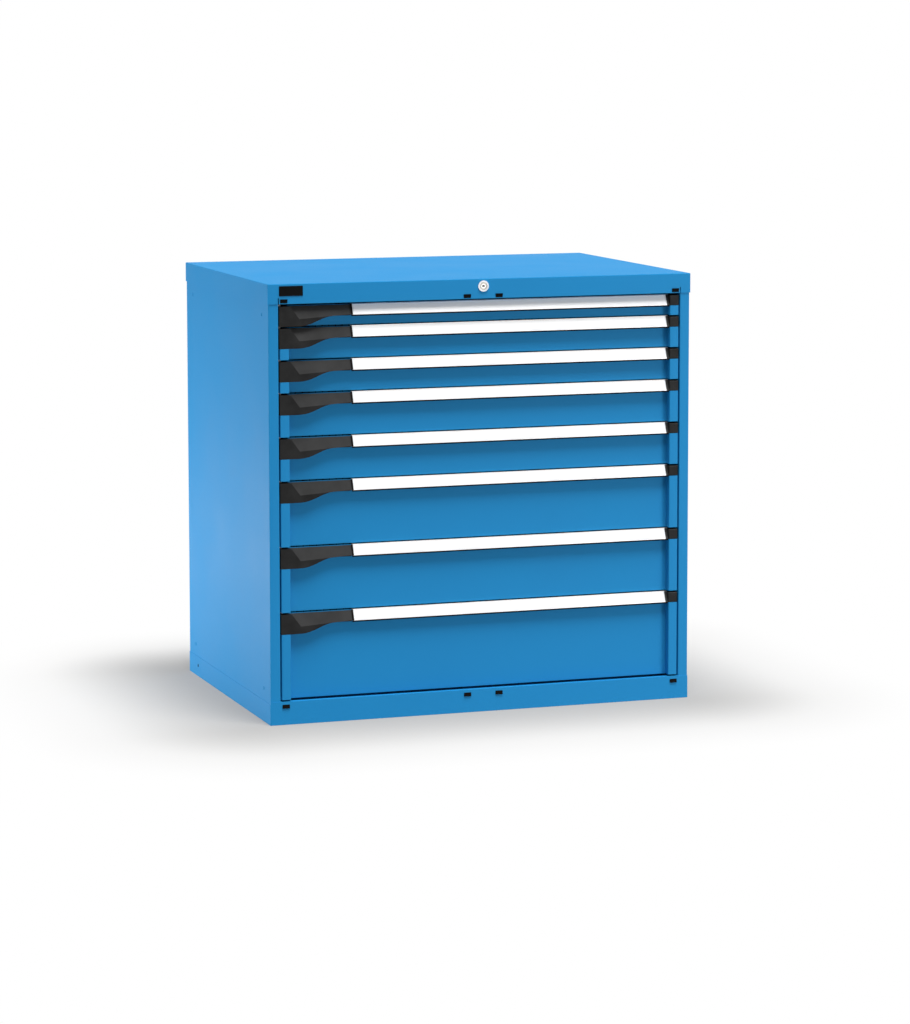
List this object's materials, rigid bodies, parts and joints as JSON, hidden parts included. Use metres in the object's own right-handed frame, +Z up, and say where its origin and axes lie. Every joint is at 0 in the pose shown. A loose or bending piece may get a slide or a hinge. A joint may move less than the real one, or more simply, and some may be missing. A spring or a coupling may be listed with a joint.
{
  "type": "modular drawer cabinet",
  "caption": "Steel drawer cabinet with full-width drawers of growing height on telescopic runners, slanted label handles with a moulded grip, and a central key lock.",
  "frame": {"origin": "middle of the bottom of the box that holds the whole cabinet, on the floor", "axes": "+Z up, -Y towards the person at the drawers, +X to that person's right"},
  "size_m": [1.023, 0.7276, 1.004],
  "materials": {
    "case_paint": "fine structure powder coat",
    "drawer_paint": "fine structure powder coat",
    "zinc_steel": "zinc plated",
    "handle_aluminium": "satin",
    "black_plastic": "fine grain",
    "lock_chrome": "polished",
    "lock_steel": "nickel plated"
  },
  "bodies": {
    "cabinet": {"top_cover": "case_paint", "left_side": "case_paint", "right_side": "case_paint", "back_panel": "case_paint", "base_pan": "case_paint", "uprights": "zinc_steel", "cabinet_rails": "zinc_steel", "slot_plugs": "black_plastic", "lock_case": "lock_chrome"},
    "lock_barrel": {"lock_barrel": "lock_steel"},
    "lock_bar": {"lock_bar": "zinc_steel"},
    "drawer_1": {"drawer_1_tray": "drawer_paint", "drawer_1_front": "drawer_paint", "drawer_1_handle": "handle_aluminium", "drawer_1_handle_ends": "black_plastic"},
    "carriage_1": {"drawer_1_carriage": "zinc_steel"},
    "latch_1": {"drawer_1_latch": "black_plastic"},
    "drawer_2": {"drawer_2_tray": "drawer_paint", "drawer_2_front": "drawer_paint", "drawer_2_handle": "handle_aluminium", "drawer_2_handle_ends": "black_plastic"},
    "carriage_2": {"drawer_2_carriage": "zinc_steel"},
    "latch_2": {"drawer_2_latch": "black_plastic"},
    "drawer_3": {"drawer_3_tray": "drawer_paint", "drawer_3_front": "drawer_paint", "drawer_3_handle": "handle_aluminium", "drawer_3_handle_ends": "black_plastic"},
    "carriage_3": {"drawer_3_carriage": "zinc_steel"},
    "latch_3": {"drawer_3_latch": "black_plastic"},
    "drawer_4": {"drawer_4_tray": "drawer_paint", "drawer_4_front": "drawer_paint", "drawer_4_handle": "handle_aluminium", "drawer_4_handle_ends": "black_plastic"},
    "carriage_4": {"drawer_4_carriage": "zinc_steel"},
    "latch_4": {"drawer_4_latch": "black_plastic"},
    "drawer_5": {"drawer_5_tray": "drawer_paint", "drawer_5_front": "drawer_paint", "drawer_5_handle": "handle_aluminium", "drawer_5_handle_ends": "black_plastic"},
    "carriage_5": {"drawer_5_carriage": "zinc_steel"},
    "latch_5": {"drawer_5_latch": "black_plastic"},
    "drawer_6": {"drawer_6_tray": "drawer_paint", "drawer_6_front": "drawer_paint", "drawer_6_handle": "handle_aluminium", "drawer_6_handle_ends": "black_plastic"},
    "carriage_6": {"drawer_6_carriage": "zinc_steel"},
    "latch_6": {"drawer_6_latch": "black_plastic"},
    "drawer_7": {"drawer_7_tray": "drawer_paint", "drawer_7_front": "drawer_paint", "drawer_7_handle": "handle_aluminium", "drawer_7_handle_ends": "black_plastic"},
    "carriage_7": {"drawer_7_carriage": "zinc_steel"},
    "latch_7": {"drawer_7_latch": "black_plastic"},
    "drawer_8": {"drawer_8_tray": "drawer_paint", "drawer_8_front": "drawer_paint", "drawer_8_handle": "handle_aluminium", "drawer_8_handle_ends": "black_plastic"},
    "carriage_8": {"drawer_8_carriage": "zinc_steel"},
    "latch_8": {"drawer_8_latch": "black_plastic"}
  },
  "joints": [
    {"name": "lock_turn", "type": "hinge", "parent": "cabinet", "child": "lock_barrel", "pos_m": [0, -0.36125, 0.987], "axis": [0, 1, 0], "range_deg": [0, 90]},
    {"name": "lock_bar_lift", "type": "slide", "parent": "cabinet", "child": "lock_bar", "axis": [0, 0, 1], "range_m": [0, 0.01414]},
    {"name": "drawer_1_slide", "type": "slide", "parent": "cabinet", "child": "drawer_1", "axis": [0, -1, 0], "range_m": [0, 0.612]},
    {"name": "carriage_1_slide", "type": "slide", "parent": "cabinet", "child": "carriage_1", "axis": [0, -1, 0], "range_m": [0, 0.306]},
    {"name": "latch_1_hinge", "type": "hinge", "parent": "drawer_1", "child": "latch_1", "pos_m": [-0.4844, -0.34475, 0.9445], "axis": [1, 0, 0], "range_deg": [0, 8], "stiffness_Nm_per_rad": 0.5, "springref_deg": 14.32},
    {"name": "drawer_2_slide", "type": "slide", "parent": "cabinet", "child": "drawer_2", "axis": [0, -1, 0], "range_m": [0, 0.612]},
    {"name": "carriage_2_slide", "type": "slide", "parent": "cabinet", "child": "carriage_2", "axis": [0, -1, 0], "range_m": [0, 0.306]},
    {"name": "latch_2_hinge", "type": "hinge", "parent": "drawer_2", "child": "latch_2", "pos_m": [-0.4844, -0.34475, 0.8945], "axis": [1, 0, 0], "range_deg": [0, 8], "stiffness_Nm_per_rad": 0.5, "springref_deg": 14.32},
    {"name": "drawer_3_slide", "type": "slide", "parent": "cabinet", "child": "drawer_3", "axis": [0, -1, 0], "range_m": [0, 0.612]},
    {"name": "carriage_3_slide", "type": "slide", "parent": "cabinet", "child": "carriage_3", "axis": [0, -1, 0], "range_m": [0, 0.306]},
    {"name": "latch_3_hinge", "type": "hinge", "parent": "drawer_3", "child": "latch_3", "pos_m": [-0.4844, -0.34475, 0.8195], "axis": [1, 0, 0], "range_deg": [0, 8], "stiffness_Nm_per_rad": 0.5, "springref_deg": 14.32},
    {"name": "drawer_4_slide", "type": "slide", "parent": "cabinet", "child": "drawer_4", "axis": [0, -1, 0], "range_m": [0, 0.612]},
    {"name": "carriage_4_slide", "type": "slide", "parent": "cabinet", "child": "carriage_4", "axis": [0, -1, 0], "range_m": [0, 0.306]},
    {"name": "latch_4_hinge", "type": "hinge", "parent": "drawer_4", "child": "latch_4", "pos_m": [-0.4844, -0.34475, 0.7445], "axis": [1, 0, 0], "range_deg": [0, 8], "stiffness_Nm_per_rad": 0.5, "springref_deg": 14.32},
    {"name": "drawer_5_slide", "type": "slide", "parent": "cabinet", "child": "drawer_5", "axis": [0, -1, 0], "range_m": [0, 0.612]},
    {"name": "carriage_5_slide", "type": "slide", "parent": "cabinet", "child": "carriage_5", "axis": [0, -1, 0], "range_m": [0, 0.306]},
    {"name": "latch_5_hinge", "type": "hinge", "parent": "drawer_5", "child": "latch_5", "pos_m": [-0.4844, -0.34475, 0.6445], "axis": [1, 0, 0], "range_deg": [0, 8], "stiffness_Nm_per_rad": 0.5, "springref_deg": 14.32},
    {"name": "drawer_6_slide", "type": "slide", "parent": "cabinet", "child": "drawer_6", "axis": [0, -1, 0], "range_m": [0, 0.612]},
    {"name": "carriage_6_slide", "type": "slide", "parent": "cabinet", "child": "carriage_6", "axis": [0, -1, 0], "range_m": [0, 0.306]},
    {"name": "latch_6_hinge", "type": "hinge", "parent": "drawer_6", "child": "latch_6", "pos_m": [-0.4844, -0.34475, 0.5445], "axis": [1, 0, 0], "range_deg": [0, 8], "stiffness_Nm_per_rad": 0.5, "springref_deg": 14.32},
    {"name": "drawer_7_slide", "type": "slide", "parent": "cabinet", "child": "drawer_7", "axis": [0, -1, 0], "range_m": [0, 0.612]},
    {"name": "carriage_7_slide", "type": "slide", "parent": "cabinet", "child": "carriage_7", "axis": [0, -1, 0], "range_m": [0, 0.306]},
    {"name": "latch_7_hinge", "type": "hinge", "parent": "drawer_7", "child": "latch_7", "pos_m": [-0.4844, -0.34475, 0.3945], "axis": [1, 0, 0], "range_deg": [0, 8], "stiffness_Nm_per_rad": 0.5, "springref_deg": 14.32},
    {"name": "drawer_8_slide", "type": "slide", "parent": "cabinet", "child": "drawer_8", "axis": [0, -1, 0], "range_m": [0, 0.612]},
    {"name": "carriage_8_slide", "type": "slide", "parent": "cabinet", "child": "carriage_8", "axis": [0, -1, 0], "range_m": [0, 0.306]},
    {"name": "latch_8_hinge", "type": "hinge", "parent": "drawer_8", "child": "latch_8", "pos_m": [-0.4844, -0.34475, 0.2445], "axis": [1, 0, 0], "range_deg": [0, 8], "stiffness_Nm_per_rad": 0.5, "springref_deg": 14.32}
  ],
  "couplings": [
    {"joint": "lock_turn", "follows": "lock_bar_lift", "rad_per_m": 111.07},
    {"joint": "carriage_1_slide", "follows": "drawer_1_slide", "ratio": 0.5},
    {"joint": "carriage_2_slide", "follows": "drawer_2_slide", "ratio": 0.5},
    {"joint": "carriage_3_slide", "follows": "drawer_3_slide", "ratio": 0.5},
    {"joint": "carriage_4_slide", "follows": "drawer_4_slide", "ratio": 0.5},
    {"joint": "carriage_5_slide", "follows": "drawer_5_slide", "ratio": 0.5},
    {"joint": "carriage_6_slide", "follows": "drawer_6_slide", "ratio": 0.5},
    {"joint": "carriage_7_slide", "follows": "drawer_7_slide", "ratio": 0.5},
    {"joint": "carriage_8_slide", "follows": "drawer_8_slide", "ratio": 0.5}
  ]
}
